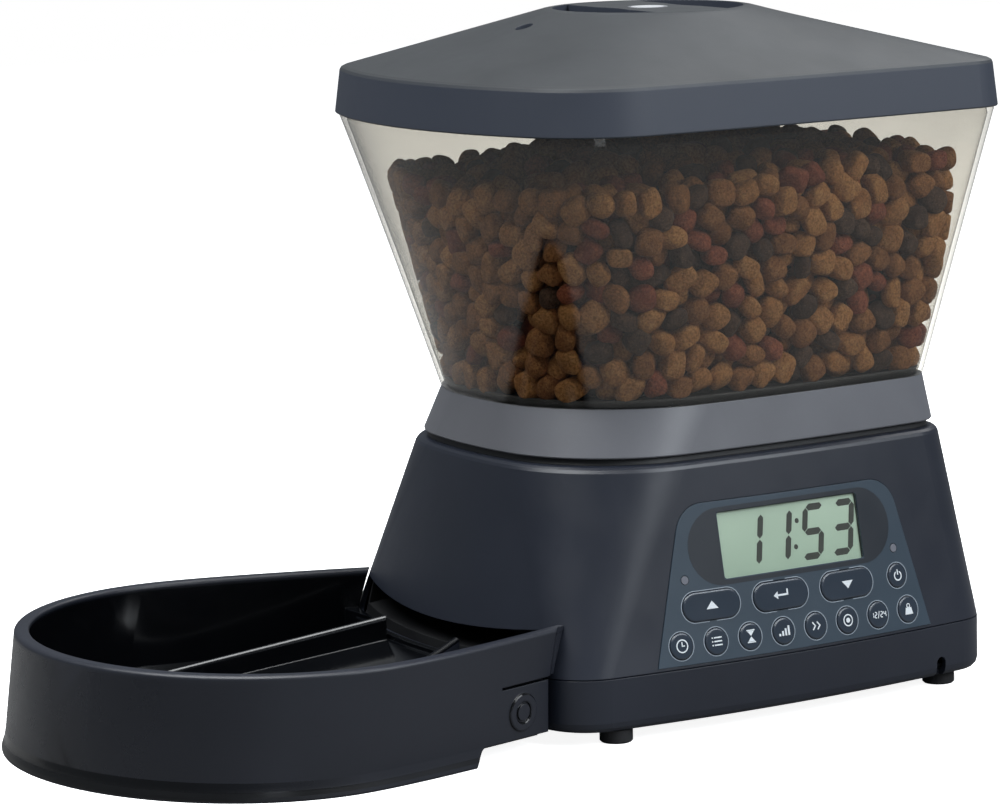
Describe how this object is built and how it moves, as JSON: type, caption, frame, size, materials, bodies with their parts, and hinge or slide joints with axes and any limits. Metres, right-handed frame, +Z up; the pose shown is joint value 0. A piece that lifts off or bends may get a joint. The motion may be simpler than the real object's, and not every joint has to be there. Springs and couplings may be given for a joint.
{
  "type": "automatic dry pet food feeder",
  "caption": "Timed dry-food feeder: clear tapered hopper with lift-off lid over a housing with keypad and display, and a round-ended food bowl that pulls off the front.",
  "frame": {"origin": "on the floor, at the middle of the bounding box", "axes": "+Z up, -Y towards the bowl, +X towards the control panel side"},
  "size_m": [0.2518, 0.4899, 0.34],
  "materials": {
    "black_plastic": "fine satin moulded texture",
    "gloss_black": "smooth glossy moulding",
    "grey_plastic": "plain moulded",
    "neck_plastic": "satin moulded",
    "band_grey": "satin moulded",
    "smoky_clear": "clear polycarbonate with a smoky tint",
    "cell_wrap": "printed shrink wrap without any text",
    "spring_steel": "nickel plated",
    "screw_steel": "zinc plated",
    "rubber": "matt rubber",
    "bush_brass": "turned",
    "auger_plastic": "moulded",
    "gear_plastic": "moulded acetal",
    "motor_can": "plated steel can",
    "badge_silver": "plain satin disc",
    "panel_slate": "satin printed overlay",
    "lens_clear": "clear window",
    "lcd_grey": "liquid-crystal display glass",
    "led_plastic": "tinted light guide",
    "board_green": "solder mask",
    "switch_black": "moulded",
    "button_slate": "satin rubber-touch keys"
  },
  "bodies": {
    "root": {"base_tray": "black_plastic", "rubber_feet": "rubber", "base_screws": "screw_steel", "battery_box": "grey_plastic", "battery_cells": "cell_wrap", "battery_contacts": "spring_steel", "main_housing": "black_plastic", "collar_neck": "neck_plastic", "collar_band": "band_grey", "hopper": "smoky_clear", "hopper_funnel": "grey_plastic", "auger_trough": "grey_plastic", "auger_bush": "bush_brass", "compound_axle": "screw_steel", "motor": "motor_can", "gearbox_plate": "grey_plastic", "gearbox_cover": "grey_plastic", "gearbox_screws": "screw_steel", "outlet_chute": "grey_plastic", "control_panel": "panel_slate", "lcd_lens": "lens_clear", "lcd_module": "lcd_grey", "led_lenses": "led_plastic", "control_board": "board_green", "tact_switches": "switch_black", "board_screws": "screw_steel"},
    "lid_cover": {"lid": "black_plastic", "lid_seal": "rubber"},
    "knob": {"lid_knob": "black_plastic", "lid_badge": "badge_silver", "lid_lock_plate": "grey_plastic", "lid_screw": "screw_steel"},
    "bowl": {"food_bowl": "gloss_black"},
    "auger": {"auger_screw": "auger_plastic", "auger_gear": "gear_plastic"},
    "compound": {"compound_gear": "gear_plastic"},
    "rotor": {"motor_pinion": "bush_brass"},
    "door": {"battery_door": "black_plastic"},
    "key_up": {"button_up": "button_slate"},
    "key_enter": {"button_enter": "button_slate"},
    "key_down": {"button_down": "button_slate"},
    "key_power": {"button_power": "button_slate"},
    "key_clock": {"button_clock": "button_slate"},
    "key_preset": {"button_preset": "button_slate"},
    "key_meal_time": {"button_meal_time": "button_slate"},
    "key_meal_size": {"button_meal_size": "button_slate"},
    "key_slow": {"button_slow": "button_slate"},
    "key_manual": {"button_manual": "button_slate"},
    "key_hours": {"button_hours": "button_slate"},
    "key_units": {"button_units": "button_slate"}
  },
  "joints": [
    {"name": "lid_lift", "type": "slide", "parent": "root", "child": "lid_cover", "axis": [0, 0, 1], "range_m": [0, 0.12]},
    {"name": "lid_knob_turn", "type": "hinge", "parent": "lid_cover", "child": "knob", "pos_m": [0, 0.1035, 0.33], "axis": [0, 0, 1], "range_deg": [0, 90]},
    {"name": "bowl_pull", "type": "slide", "parent": "root", "child": "bowl", "axis": [0, -1, 0], "range_m": [0, 0.08]},
    {"name": "auger_spin", "type": "hinge", "parent": "root", "child": "auger", "pos_m": [0, 0.07, 0.07], "axis": [0, 1, 0], "continuous": true},
    {"name": "compound_spin", "type": "hinge", "parent": "root", "child": "compound", "pos_m": [-0.031, 0.13, 0.07], "axis": [0, 1, 0], "continuous": true},
    {"name": "motor_spin", "type": "hinge", "parent": "root", "child": "rotor", "pos_m": [-0.059, 0.14, 0.07], "axis": [0, 1, 0], "continuous": true},
    {"name": "battery_door_hinge", "type": "hinge", "parent": "root", "child": "door", "pos_m": [0, 0.1518, 0.008], "axis": [1, 0, 0], "range_deg": [-100, 0]},
    {"name": "press_up", "type": "slide", "parent": "root", "child": "key_up", "axis": [-0.9794, -0.0066, -0.2018], "range_m": [0, 0.0006], "stiffness_N_per_m": 800},
    {"name": "press_enter", "type": "slide", "parent": "root", "child": "key_enter", "axis": [-0.9785, -0.0502, -0.1999], "range_m": [0, 0.0006], "stiffness_N_per_m": 800},
    {"name": "press_down", "type": "slide", "parent": "root", "child": "key_down", "axis": [-0.9762, -0.094, -0.1953], "range_m": [0, 0.0006], "stiffness_N_per_m": 800},
    {"name": "press_power", "type": "slide", "parent": "root", "child": "key_power", "axis": [-0.9733, -0.1291, -0.1896], "range_m": [0, 0.0006], "stiffness_N_per_m": 800},
    {"name": "press_clock", "type": "slide", "parent": "root", "child": "key_clock", "axis": [-0.9786, 0.0139, -0.2054], "range_m": [0, 0.0006], "stiffness_N_per_m": 800},
    {"name": "press_preset", "type": "slide", "parent": "root", "child": "key_preset", "axis": [-0.9789, -0.0075, -0.2041], "range_m": [0, 0.0006], "stiffness_N_per_m": 800},
    {"name": "press_meal_time", "type": "slide", "parent": "root", "child": "key_meal_time", "axis": [-0.9789, -0.029, -0.2025], "range_m": [0, 0.0006], "stiffness_N_per_m": 800},
    {"name": "press_meal_size", "type": "slide", "parent": "root", "child": "key_meal_size", "axis": [-0.9784, -0.0505, -0.2005], "range_m": [0, 0.0006], "stiffness_N_per_m": 800},
    {"name": "press_slow", "type": "slide", "parent": "root", "child": "key_slow", "axis": [-0.9775, -0.0721, -0.1981], "range_m": [0, 0.0006], "stiffness_N_per_m": 800},
    {"name": "press_manual", "type": "slide", "parent": "root", "child": "key_manual", "axis": [-0.9763, -0.0936, -0.1954], "range_m": [0, 0.0006], "stiffness_N_per_m": 800},
    {"name": "press_hours", "type": "slide", "parent": "root", "child": "key_hours", "axis": [-0.9746, -0.1152, -0.1922], "range_m": [0, 0.0006], "stiffness_N_per_m": 800},
    {"name": "press_units", "type": "slide", "parent": "root", "child": "key_units", "axis": [-0.9725, -0.1368, -0.1887], "range_m": [0, 0.0006], "stiffness_N_per_m": 800}
  ],
  "couplings": [
    {"joint": "auger_spin", "follows": "motor_spin", "ratio": 0.097222},
    {"joint": "compound_spin", "follows": "motor_spin", "ratio": -0.33333}
  ]
}
